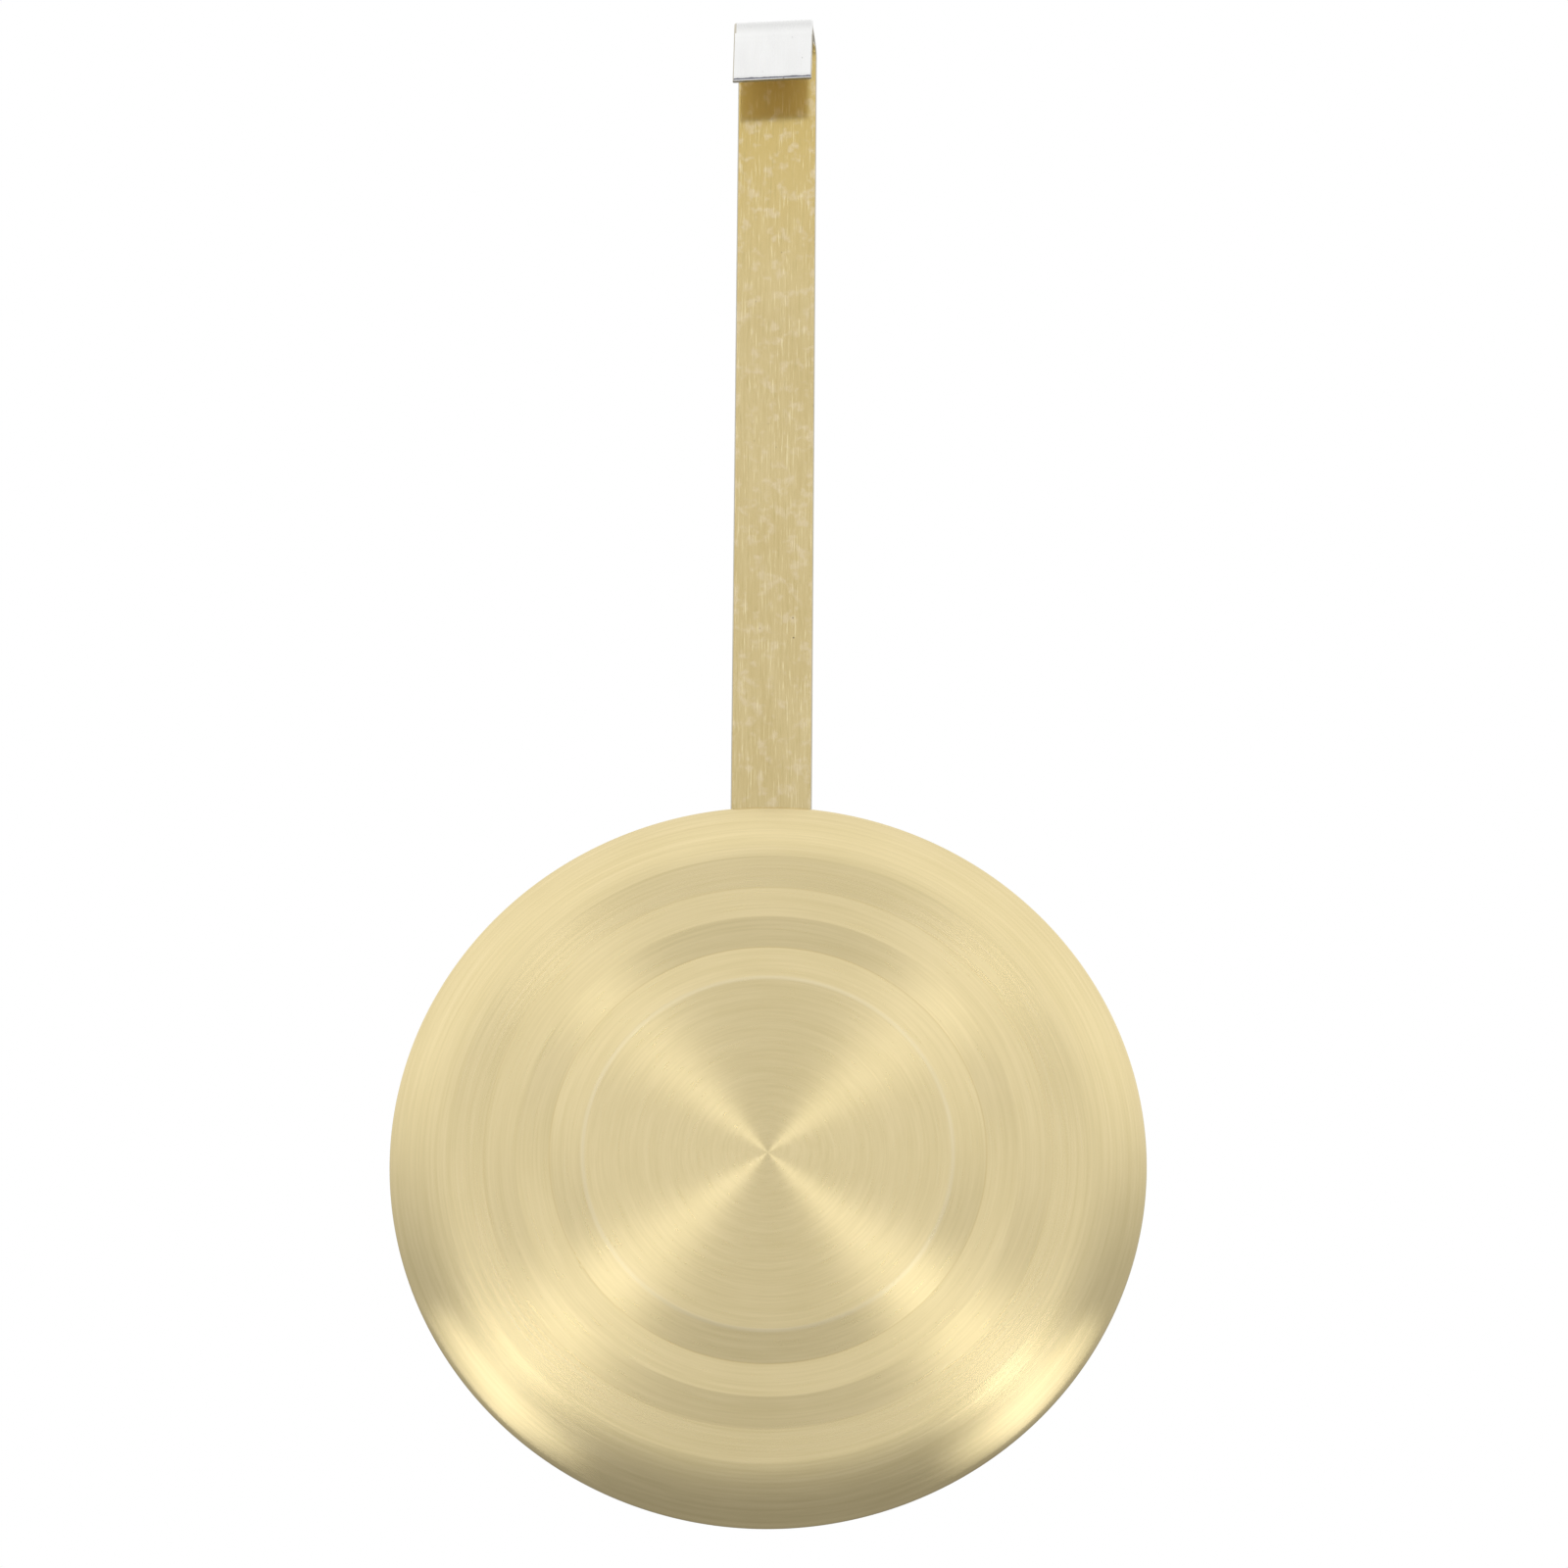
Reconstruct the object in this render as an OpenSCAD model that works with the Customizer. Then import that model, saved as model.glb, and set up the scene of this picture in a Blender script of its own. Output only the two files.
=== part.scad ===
// Short clock pendulum. A flat strip hangs by its hooked end and carries a spun round bob.
// A knurled nut behind the bob turns on a screw at the end of the strip, which raises or
// lowers the bob to set the clock's rate.
// +Z runs up the strip and the bob's face looks along -Y. The origin is the centre of the
// hook's bend, on the axis of the pin that it hangs from.

/* [Strip] */
// Width of the strip
strip_w = 8.2; // [7.6:0.1:8.8]
// Thickness of the strip
strip_t = 0.5; // [0.4:0.05:0.5]
// Radius inside the hook's bend
hook_r = 2.2; // [2.2:0.1:3]
// Length of the straight flap in front of the strip
flap_l = 5; // [3:0.5:8]
// Height from the bob's centre up to the centre of the hook's bend
drop = 121.8; // [80:0.1:240]

/* [Bob face] */
// Diameter of the bob
bob_d = 75; // [74.5:0.5:80]
// Radius of the flat centre
centre_r = 18.2; // [17:0.1:19]
// Outer radius of the first slope
slope_1_r = 21.6; // [20:0.1:22.5]
// Outer radius of the first land
land_1_r = 24.9; // [24:0.1:25.5]
// Outer radius of the second slope
slope_2_r = 28.1; // [27:0.1:29]
// Outer radius of the second land, where the outer dome starts
land_2_r = 31.5; // [31.2:0.1:31.8]
// Fall of the first slope
slope_1_fall = 0.35; // [0.2:0.01:0.5]
// Fall of the first land
land_1_fall = 0.08; // [0:0.01:0.15]
// Fall of the second slope
slope_2_fall = 0.32; // [0.2:0.01:0.5]
// Fall of the second land
land_2_fall = 0.1; // [0:0.01:0.2]
// Slope of the dome where it meets the rim, in degrees
dome_end = 30; // [28:1:36]
// Radius of the rolled rim, outside
roll_r = 0.75; // [0.65:0.05:0.9]
// Thickness of the spun sheet
shell_t = 0.5; // [0.4:0.05:0.5]

/* [Bob body] */
// Thickness of the back plate
plate_t = 0.8; // [0.6:0.1:0.9]
// Width of the lip turned over the back plate
lip_w = 2.75; // [2:0.25:3]
// Radius of the weight disc
weight_r = 31; // [28:0.5:31]
// Clearance in front of the weight disc, under the face
weight_gap = 0.2; // [0.1:0.1:0.4]
// Distance from the bob's centre to each weight rivet
weight_rivet_r = 24; // [22:0.5:26]

/* [Guides] */
// Height of each bridge along the strip
bridge_h = 5; // [4:0.5:5]
// Thickness of the bridges' sheet
bridge_t = 0.5; // [0.4:0.1:0.6]
// Half the width of a bridge across its feet
bridge_half_w = 10.4; // [10:0.2:11]
// Space behind the strip in a bridge, for the brake spring
spring_space = 0.45; // [0.4:0.05:0.6]
// Thickness of the brake spring
spring_t = 0.15; // [0.1:0.05:0.2]

/* [Rating nut and screw] */
// Number of whole turns of the nut to each side of the middle
nut_turns = 9; // [4:1:9]
// Pitch of the screw's thread
pitch = 0.45; // [0.35:0.05:0.45]
// Outer diameter of the screw
screw_d = 2.5; // [2:0.1:2.5]
// Diameter of the nut
nut_d = 8.4; // [8:0.1:8.6]
// Height of the nut
nut_h = 4; // [3:0.5:4]
// Height of the carrier block
carrier_h = 8; // [8:0.5:10]

/* [Hidden] */
$fn = 96;

// Clearances: strip on the back plate, strip in a bridge, screw in the nut, screw and
// washer in the cage, ends of travel
slide_gap = 0.05;
side_gap = 0.15;
thread_gap = 0.05;
ear_gap = 0.25;
washer_gap = 0.35;
stop_gap = 0.65;
travel = nut_turns * pitch;

// Cutters reach this far past what they cut, and this far through the whole bob
past = 1;
through = 20;

// Depths, along +Y
strip_front = hook_r;
strip_back = strip_front + strip_t;
plate_back = strip_front - slide_gap;
plate_front = plate_back - plate_t;
lip_back = plate_back - slide_gap;
flange_back = lip_back - shell_t;
flange_front = flange_back - plate_t;

// The bob's outline: its dome and rolled rim are arcs that share a tangent
bob_r = bob_d / 2;
bob_z = -drop;
dome_start = 2;
dome_steps = 12;
roll_steps = 8;
roll_centre_r = bob_r - roll_r;
roll_centre_y = lip_back - roll_r;
dome_end_r = roll_centre_r + roll_r * sin(dome_end);
dome_end_y = roll_centre_y - roll_r * cos(dome_end);
dome_r = (dome_end_r - land_2_r) / (sin(dome_end) - sin(dome_start));
dome_centre_r = land_2_r - dome_r * sin(dome_start);
dome_centre_y = dome_end_y + dome_r * cos(dome_end);
land_2_y = dome_centre_y - dome_r * cos(dome_start);
slope_2_y = land_2_y - land_2_fall;
land_1_y = slope_2_y - slope_2_fall;
slope_1_y = land_1_y - land_1_fall;
face_y = slope_1_y - slope_1_fall;
lip_in_r = roll_centre_r - lip_w;
pan_inset = 1;
pan_r = lip_in_r - pan_inset;
joggle_w = 0.6;
flange_inset = 1.15;
flange_r = roll_centre_r - flange_inset;
weight_front = land_2_y + shell_t + weight_gap;
weight_chamfer = 0.4;

// Heights of the screw's parts, from the strip's end down to the screw's tip
carrier_raise = 2.5;
carrier_z = bob_z + carrier_raise;
strip_setback = 0.5;
strip_end_z = carrier_z + strip_setback;
carrier_top = carrier_z + carrier_h;
carrier_d = 3.6;
carrier_w = 7;
screw_y = strip_back + carrier_d / 2;
screw_seat = 5;
screw_top = carrier_z + screw_seat;
screw_r = screw_d / 2;
screw_chamfer = 0.3;
lock_pin_r = 0.5;
lock_pin_z = carrier_z + screw_seat / 2;
ear_t = 0.8;
ear_r = 3.5;
ear_foot = 5.2;
nut_play = 0.2;
nut_chamfer = 0.4;
washer_space = 0.5;
washer_t = 0.2;
washer_play = 0.05;
washer_r = ear_r + 0.1;
cage_top = carrier_z - travel - stop_gap;
nut_top = cage_top - ear_t - nut_play;
nut_bottom = nut_top - nut_h;
cage_bottom = nut_bottom - washer_space - ear_t;
cage_half_w = 10.4;
nut_bite = 0.3;
window_half_w = nut_d / 2 - nut_bite;
window_top = cage_top - ear_t;
window_bottom = cage_bottom + ear_t;
collar_r = 2.1;
collar_h = 1.6;
collar_chamfer = 0.2;
collar_top = cage_bottom - travel - stop_gap;
tip_length = 0.6;
screw_tip = collar_top - collar_h - tip_length;

// The bridges and the brake spring
lower_bridge_z = carrier_top + travel + stop_gap;
bridge_spacing = 5;
upper_bridge_z = lower_bridge_z + bridge_h + bridge_spacing;
bridge_inside = strip_back + spring_space;
spring_half_w = 3;
spring_slack = 0.15;
spring_lip = 0.9;
spring_steps = 8;

// The rivets. Each size lists the shank's radius, the head's radius and the head's height
small_rivet = [0.8, 1.5, 0.6];
small_rivet_x = 7.6;
weight_rivet = [1.25, 2.4, 0.9];
carrier_rivet = [0.7, 1.2, 0.45];
carrier_rivet_x = 2.2;
carrier_rivet_z = carrier_top - 1.6;

// Turns a shape about Z into one about Y: its height becomes depth behind the bob's face
module behind(x = 0, z = bob_z) translate([x, 0, z]) rotate([-90, 0, 0]) children();

// Draws a profile in depth and height, and gives it a width along X
module across(w) rotate([90, 0, 90]) linear_extrude(w, center = true) children();

// Rivet along +Y, from one depth to another, with a low domed head beyond it
module rivet(from, to, size) {
    head_r = size[1];
    head_h = size[2];
    dome = (head_r * head_r + head_h * head_h) / (2 * head_h);
    translate([0, 0, from]) cylinder(h = to - from, r = size[0]);
    intersection() {
        translate([0, 0, to + head_h - dome]) sphere(dome);
        translate([0, 0, to]) cylinder(h = head_h, r = head_r);
    }
}

// Hole along Y for a rivet, through all of the bob's sheets
module hole(size) cylinder(h = 2 * through, r = size[0], center = true);

// Slot that lets the nut sink into the back plate and the weight disc
module nut_window() {
    translate([-window_half_w, -through / 2, window_bottom])
        cube([2 * window_half_w, through, window_top - window_bottom]);
}

module at_small_rivets(z) for (side = [-1, 1]) behind(side * small_rivet_x, z) children();

module at_bridge_rivets() {
    at_small_rivets(lower_bridge_z + bridge_h / 2) children();
    at_small_rivets(upper_bridge_z + bridge_h / 2) children();
}

module at_cage_rivets() at_small_rivets((cage_top + cage_bottom) / 2) children();

module at_carrier_rivets() {
    for (side = [-1, 1]) behind(side * carrier_rivet_x, carrier_rivet_z) children();
}

module at_weight_rivets() {
    for (a = [30, 150, 210, 330])
        behind(weight_rivet_r * cos(a), bob_z + weight_rivet_r * sin(a)) children();
}

// Cylinder with a chamfer at both ends
module chamfered(h, r, c) {
    rotate_extrude() polygon([[0, 0], [r - c, 0], [r, c], [r, h - c], [r - c, h], [0, h]]);
}

// Strip, bent forward at its top into an open hook
module suspension_strip() color([0.82, 0.73, 0.47]) difference() {
    across(strip_w) {
        translate([strip_front, strip_end_z]) square([strip_t, -strip_end_z]);
        translate([-strip_back, -flap_l]) square([strip_t, flap_l]);
        difference() {
            circle(strip_back);
            circle(strip_front);
            translate([-through / 2, -through]) square(through);
        }
    }
    at_carrier_rivets() hole(carrier_rivet);
}

// Block riveted behind the strip's end, bored for the screw
module screw_carrier() color([0.78, 0.66, 0.36]) difference() {
    translate([-carrier_w / 2, strip_back, carrier_z]) cube([carrier_w, carrier_d, carrier_h]);
    translate([0, screw_y, carrier_z - past]) cylinder(h = screw_seat + past, r = screw_r);
    lock_pin_shape(carrier_w + 2 * past);
    at_carrier_rivets() hole(carrier_rivet);
}

module carrier_rivets() color([0.8, 0.8, 0.8]) at_carrier_rivets()
    rivet(strip_front, strip_back + carrier_d, carrier_rivet);

module lock_pin_shape(length) {
    translate([0, screw_y, lock_pin_z]) rotate([0, 90, 0])
        cylinder(h = length, r = lock_pin_r, center = true);
}

// Pin through the carrier and the screw, which keeps the screw from turning
module screw_lock_pin() color([0.75, 0.75, 0.77]) lock_pin_shape(carrier_w);

module rating_screw() color([0.7, 0.7, 0.72]) difference() {
    translate([0, screw_y, screw_tip])
        chamfered(screw_top - screw_tip, screw_r, screw_chamfer);
    lock_pin_shape(carrier_w);
}

// Collar pressed on the screw, which keeps the bob from dropping off
module stop_collar() color([0.75, 0.75, 0.77]) difference() {
    translate([0, screw_y, collar_top - collar_h])
        chamfered(collar_h, collar_r, collar_chamfer);
    translate([0, screw_y, collar_top - collar_h - past])
        cylinder(h = collar_h + 2 * past, r = screw_r);
}

// Points along the spun sheet from its centre to its lip, a given depth inside its outside
function skin(depth) = concat(
    [
        [0, face_y + depth],
        [centre_r, face_y + depth],
        [slope_1_r, slope_1_y + depth],
        [land_1_r, land_1_y + depth],
        [slope_2_r, slope_2_y + depth]
    ],
    bend(dome_centre_r, dome_centre_y, dome_r - depth, dome_start, dome_end, dome_steps),
    bend(roll_centre_r, roll_centre_y, roll_r - depth, dome_end, 180, roll_steps),
    [[lip_in_r, lip_back - depth]]
);

// Arc of the profile between two slopes
function bend(x, y, r, from, to, steps) = [
    for (i = [0 : steps])
        let (a = from + (to - from) * i / steps)
            [x + r * sin(a), y - r * cos(a)]
];

function reversed(list) = [for (i = [len(list) - 1 : -1 : 0]) list[i]];

// Spun face with two stepped rings, a domed edge and a rim turned over the back plate
module front_shell() color([0.86, 0.78, 0.56]) behind()
    rotate_extrude() polygon(concat(skin(0), reversed(skin(shell_t))));

// Disc whose edge is set forward, so that the lip that holds it stays clear of the strip
module back_plate() color([0.72, 0.72, 0.72]) difference() {
    behind() rotate_extrude() polygon([
        [0, plate_front],
        [pan_r, plate_front],
        [pan_r + joggle_w, flange_front],
        [flange_r, flange_front],
        [flange_r, flange_back],
        [pan_r + joggle_w, flange_back],
        [pan_r, plate_back],
        [0, plate_back]
    ]);
    nut_window();
    at_weight_rivets() hole(weight_rivet);
    at_bridge_rivets() hole(small_rivet);
    at_cage_rivets() hole(small_rivet);
}

// Steel disc that fills the bob and gives it its weight
module weight_disc() color([0.45, 0.45, 0.47]) difference() {
    behind() translate([0, 0, weight_front])
        chamfered(plate_front - weight_front, weight_r, weight_chamfer);
    nut_window();
    at_weight_rivets() hole(weight_rivet);
}

module weight_rivets() color([0.8, 0.8, 0.8]) at_weight_rivets()
    rivet(weight_front, plate_back, weight_rivet);

// Rounded outline of a riveted strap, seen from behind, with its lower edge at z
module strap_outline(half_w, h, z, depth) {
    behind(0, z + h / 2) linear_extrude(depth) {
        square([2 * half_w - h, h], center = true);
        for (side = [-1, 1]) translate([side * (half_w - h / 2), 0]) circle(h / 2);
    }
}

// Hat-shaped guide that holds the strip against the back plate
module bridge(z) {
    inside_w = strip_w / 2 + side_gap;
    outside_w = inside_w + bridge_t;
    difference() {
        intersection() {
            translate([0, 0, z]) linear_extrude(bridge_h) difference() {
                union() {
                    translate([-outside_w, plate_back])
                        square([2 * outside_w, bridge_inside + bridge_t - plate_back]);
                    translate([-bridge_half_w, plate_back]) square([2 * bridge_half_w, bridge_t]);
                }
                translate([-inside_w, plate_back - past])
                    square([2 * inside_w, bridge_inside - plate_back + past]);
            }
            strap_outline(bridge_half_w, bridge_h, z, through);
        }
        at_small_rivets(z + bridge_h / 2) hole(small_rivet);
    }
}

module upper_bridge() color([0.76, 0.76, 0.78]) bridge(upper_bridge_z);

module lower_bridge() color([0.76, 0.76, 0.78]) bridge(lower_bridge_z);

module bridge_rivets() color([0.8, 0.8, 0.8]) at_bridge_rivets()
    rivet(plate_front, plate_back + bridge_t, small_rivet);

// Parabola that stands at y in its middle and falls back by bow at both ends
function bowed(y, bow, half_h) = [
    for (i = [-spring_steps : spring_steps])
        let (share = i / spring_steps)
            [y + bow * share * share, half_h * share]
];

// Leaf clipped over the upper bridge's edges and bowed forward against the strip
module brake_spring() color([0.6, 0.62, 0.66]) {
    inside = bridge_h / 2 + spring_slack;
    outside = inside + spring_t;
    front = strip_back + slide_gap;
    bow = spring_space - spring_t - slide_gap;
    tip = front + bow + spring_t + spring_lip;
    translate([0, 0, upper_bridge_z + bridge_h / 2]) across(2 * spring_half_w) polygon(concat(
        [[tip, -outside]],
        bowed(front, bow, outside),
        [[tip, outside], [tip, inside]],
        reversed(bowed(front + spring_t, bow, inside)),
        [[tip, -inside]]
    ));
}

// Bracket with two ears that hold the nut between them
module nut_cage() color([0.76, 0.76, 0.78]) difference() {
    union() {
        difference() {
            translate([0, plate_back, 0])
                strap_outline(cage_half_w, cage_top - cage_bottom, cage_bottom, ear_t);
            nut_window();
        }
        for (z = [cage_bottom, cage_top - ear_t]) translate([0, 0, z]) linear_extrude(ear_t) {
            translate([-ear_foot, plate_back]) square([2 * ear_foot, ear_t]);
            translate([-ear_r, plate_back]) square([2 * ear_r, screw_y - plate_back]);
            intersection() {
                translate([0, screw_y]) circle(ear_r);
                translate([-ear_r, plate_back]) square(2 * ear_r + past);
            }
        }
    }
    translate([0, screw_y, cage_bottom - past])
        cylinder(h = cage_top - cage_bottom + 2 * past, r = screw_r + ear_gap);
    at_cage_rivets() hole(small_rivet);
}

module cage_rivets() color([0.8, 0.8, 0.8]) at_cage_rivets()
    rivet(plate_front, plate_back + ear_t, small_rivet);

// Dished washer under the nut, which keeps it from creeping
module tension_washer() color([0.6, 0.62, 0.66]) {
    inner = screw_r + washer_gap;
    high = washer_space - washer_t - washer_play;
    translate([0, screw_y, window_bottom]) rotate_extrude()
        polygon([[inner, high], [washer_r, 0], [washer_r, washer_t], [inner, high + washer_t]]);
}

module rating_nut() color([0.8, 0.68, 0.36]) difference() {
    translate([0, screw_y, nut_bottom]) chamfered(nut_h, nut_d / 2, nut_chamfer);
    translate([0, screw_y, nut_bottom - past])
        cylinder(h = nut_h + 2 * past, r = screw_r + thread_gap);
}

suspension_strip();
screw_carrier();
carrier_rivets();
screw_lock_pin();
rating_screw();
stop_collar();
front_shell();
back_plate();
weight_disc();
weight_rivets();
upper_bridge();
lower_bridge();
bridge_rivets();
brake_spring();
nut_cage();
cage_rivets();
tension_washer();
rating_nut();
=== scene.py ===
import math

import bmesh
import bpy
from mathutils import Matrix, Vector


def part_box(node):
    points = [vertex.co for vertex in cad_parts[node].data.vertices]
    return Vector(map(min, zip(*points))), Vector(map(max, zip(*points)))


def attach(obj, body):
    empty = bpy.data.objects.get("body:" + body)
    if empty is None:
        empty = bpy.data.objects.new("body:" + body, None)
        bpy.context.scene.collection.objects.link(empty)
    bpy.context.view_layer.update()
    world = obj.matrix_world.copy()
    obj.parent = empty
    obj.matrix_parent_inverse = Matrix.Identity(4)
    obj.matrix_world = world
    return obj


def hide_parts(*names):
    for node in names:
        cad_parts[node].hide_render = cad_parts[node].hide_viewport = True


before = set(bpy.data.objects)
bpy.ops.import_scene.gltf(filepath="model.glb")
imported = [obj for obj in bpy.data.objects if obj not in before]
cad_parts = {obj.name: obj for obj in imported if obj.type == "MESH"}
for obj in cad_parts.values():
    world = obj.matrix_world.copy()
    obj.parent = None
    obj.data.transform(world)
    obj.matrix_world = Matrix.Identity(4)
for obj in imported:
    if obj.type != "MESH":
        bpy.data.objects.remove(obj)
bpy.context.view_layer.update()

# A short clock pendulum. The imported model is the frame: everything is in metres, +Z runs up
# the strip and the bob's face looks along -Y. The hook's bend is centred on the origin.

MM = 0.001
TURN = 2 * math.pi


# ---------------------------------------------------------------- sizes from the frame

def size_of(node):
    low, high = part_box(node)
    return high - low


def centre_of(node):
    low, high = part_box(node)
    return (low + high) / 2


SHELL_LOW, SHELL_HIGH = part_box("front_shell")
STRIP_LOW, STRIP_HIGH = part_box("suspension_strip")
PLATE_LOW, PLATE_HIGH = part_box("back_plate")
BOB_CENTRE = centre_of("front_shell")
BOB_R = size_of("front_shell").x / 2
SCREW_AXIS = centre_of("rating_screw")

# Rings pressed into the bob's face: radius of each edge, and how far it lies behind the face
RINGS = [(18.2, 0), (21.6, 0.35), (24.9, 0.43), (28.1, 0.75), (31.5, 0.85)]
DOME_START = math.radians(2)
DOME_END = math.radians(30)
ROLL_R = 0.75 * MM
LIP_W = 2.75 * MM
SHEET = 0.5 * MM

# The flap of the hook, and how far its fold is out of square: the flap's lean, the slope of
# its end, and how far it sits to one side
FLAP_LENGTH = 5 * MM
FOLD_LEAN = math.radians(1.1)
FOLD_TILT = math.radians(3.3)
FOLD_DRIFT = 0.42 * MM

# Rivets: radius of the shank, radius of the head and height of the head
STRIP_RIVET = (0.7 * MM, 1.2 * MM, 0.45 * MM)
WEIGHT_RIVET = (1.25 * MM, 2.4 * MM, 0.9 * MM)
GUIDE_RIVET = (0.8 * MM, 1.5 * MM, 0.6 * MM)
RIVETS = {
    "carrier_rivets": STRIP_RIVET,
    "weight_rivets": WEIGHT_RIVET,
    "bridge_rivets": GUIDE_RIVET,
    "cage_rivets": GUIDE_RIVET,
}
WEIGHT_RIVET_CIRCLE = 24 * MM
WEIGHT_RIVET_ANGLES = (30, 150, 210, 330)

# Clearances round the screw: in the nut, in the washer and in the cage's ears
THREAD_GAP = 0.05 * MM
WASHER_GAP = 0.35 * MM
EAR_GAP = 0.25 * MM
CAGE_SHEET = 0.8 * MM


# ---------------------------------------------------------------- mesh tools

def make(name, verts, faces, smooth_angle=35):
    """New mesh object with outward faces, smooth except at edges sharper than the angle."""
    mesh = bpy.data.meshes.new(name)
    mesh.from_pydata([tuple(v) for v in verts], [], faces)
    shape = bmesh.new()
    shape.from_mesh(mesh)
    bmesh.ops.remove_doubles(shape, verts=shape.verts, dist=1e-8)
    bmesh.ops.recalc_face_normals(shape, faces=shape.faces)
    shape.to_mesh(mesh)
    shape.free()
    piece = bpy.data.objects.new(name, mesh)
    bpy.context.scene.collection.objects.link(piece)
    smooth(piece, smooth_angle)
    return piece


def smooth(piece, angle=35):
    piece.data.shade_smooth()
    piece.data.set_sharp_from_angle(angle=math.radians(angle))


def apply_modifier(piece, kind, **settings):
    """Adds a modifier, and writes its result into the mesh."""
    modifier = piece.modifiers.new(kind, kind)
    for key, value in settings.items():
        setattr(modifier, key, value)
    graph = bpy.context.evaluated_depsgraph_get()
    result = bpy.data.meshes.new_from_object(piece.evaluated_get(graph))
    piece.modifiers.clear()
    piece.data = result


def combine(piece, other, operation):
    """Boolean of two closed pieces. The second one is used up."""
    apply_modifier(piece, "BOOLEAN", object=other, operation=operation, solver="EXACT")
    bpy.data.objects.remove(other)


def bevel(piece, width, segments=3):
    apply_modifier(
        piece, "BEVEL", width=width, segments=segments,
        limit_method="ANGLE", angle_limit=math.radians(35), use_clamp_overlap=True,
    )
    smooth(piece, 50)


def tube(name, verts, around):
    """Closed skin over rings of points, each ring with the same number of them."""
    rings = len(verts) // around
    faces = [tuple(range(around)), tuple(range((rings - 1) * around, rings * around))]
    for i in range(rings - 1):
        for k in range(around):
            j = (k + 1) % around
            faces.append((
                i * around + k, i * around + j, (i + 1) * around + j, (i + 1) * around + k,
            ))
    return make(name, verts, faces)


def join(name, pieces):
    """One object that holds several separate solids."""
    first = pieces[0]
    shape = bmesh.new()
    for piece in pieces:
        shape.from_mesh(piece.data)
    shape.to_mesh(first.data)
    shape.free()
    for piece in pieces[1:]:
        bpy.data.objects.remove(piece)
    first.name = name
    return first


def rounded(points, radius, steps=5):
    """Outline with its corners rounded. Each point may carry its own radius as a third number."""
    out = []
    count = len(points)
    for i in range(count):
        corner = Vector(points[i][:2])
        before = Vector(points[i - 1][:2]) - corner
        after = Vector(points[(i + 1) % count][:2]) - corner
        r = points[i][2] if len(points[i]) > 2 else radius
        turn = before.angle(after)
        reach = min(r / math.tan(turn / 2), before.length * 0.49, after.length * 0.49)
        if r <= 0 or reach < 1e-7:
            out.append(corner)
            continue
        start = corner + before.normalized() * reach
        end = corner + after.normalized() * reach
        for k in range(steps + 1):
            t = k / steps
            out.append((1 - t) ** 2 * start + 2 * t * (1 - t) * corner + t ** 2 * end)
    return out


def arc(centre, radius, start, end, steps):
    """Points from one angle to another; the angle is the outline's slope."""
    points = []
    for i in range(steps + 1):
        a = start + (end - start) * i / steps
        points.append((centre[0] + radius * math.sin(a), centre[1] - radius * math.cos(a)))
    return points


def revolve(name, outline, centre, axis, segments, bulge=None):
    """Turns a closed outline of (radius, height) about an axis.

    bulge is added to each radius, and is worked out from the angle, the radius and the height.
    """
    verts = []
    for s in range(segments):
        angle = TURN * s / segments
        for r, h in outline:
            if bulge:
                r = r + bulge(angle, r, h)
            x = r * math.cos(angle)
            z = r * math.sin(angle)
            verts.append(centre + (Vector((x, h, z)) if axis == "Y" else Vector((x, z, h))))
    rows = len(outline)
    faces = []
    for s in range(segments):
        nxt = (s + 1) % segments
        for i in range(rows):
            j = (i + 1) % rows
            faces.append((s * rows + i, s * rows + j, nxt * rows + j, nxt * rows + i))
    return make(name, verts, faces)


def prism(name, outline, low, high, axis):
    """Solid with a flat outline: (x, y) for axis Z, (x, z) for axis Y, (y, z) for axis X."""
    def place(point, height):
        a, b = point
        return {"Z": (a, b, height), "Y": (a, height, b), "X": (height, a, b)}[axis]

    count = len(outline)
    verts = [place(p, low) for p in outline] + [place(p, high) for p in outline]
    faces = [tuple(range(count)), tuple(range(count, 2 * count))]
    for i in range(count):
        j = (i + 1) % count
        faces.append((i, j, count + j, count + i))
    return make(name, verts, faces)


def box(name, low, high):
    outline = [(low[0], low[1]), (high[0], low[1]), (high[0], high[1]), (low[0], high[1])]
    return prism(name, outline, low[2], high[2], "Z")


def rod(name, centre, radius, low, high, axis, segments=64):
    """Plain round bar used as a cutter, along an axis, between two heights on that axis."""
    ring = [
        (radius * math.cos(TURN * i / segments), radius * math.sin(TURN * i / segments))
        for i in range(segments)
    ]
    at = {"Z": (centre[0], centre[1]), "Y": (centre[0], centre[2]), "X": (centre[1], centre[2])}
    offset = at[axis]
    return prism(name, [(a + offset[0], b + offset[1]) for a, b in ring], low, high, axis)


def done(piece, body, material, slot, *nodes):
    """Puts a finished piece in place: its body, its material and the nodes it stands for."""
    piece.data.materials.clear()
    for each in material if isinstance(material, list) else [material]:
        piece.data.materials.append(each)
    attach(piece, body)
    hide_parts(*nodes)
    return piece


# ---------------------------------------------------------------- material tools

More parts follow.
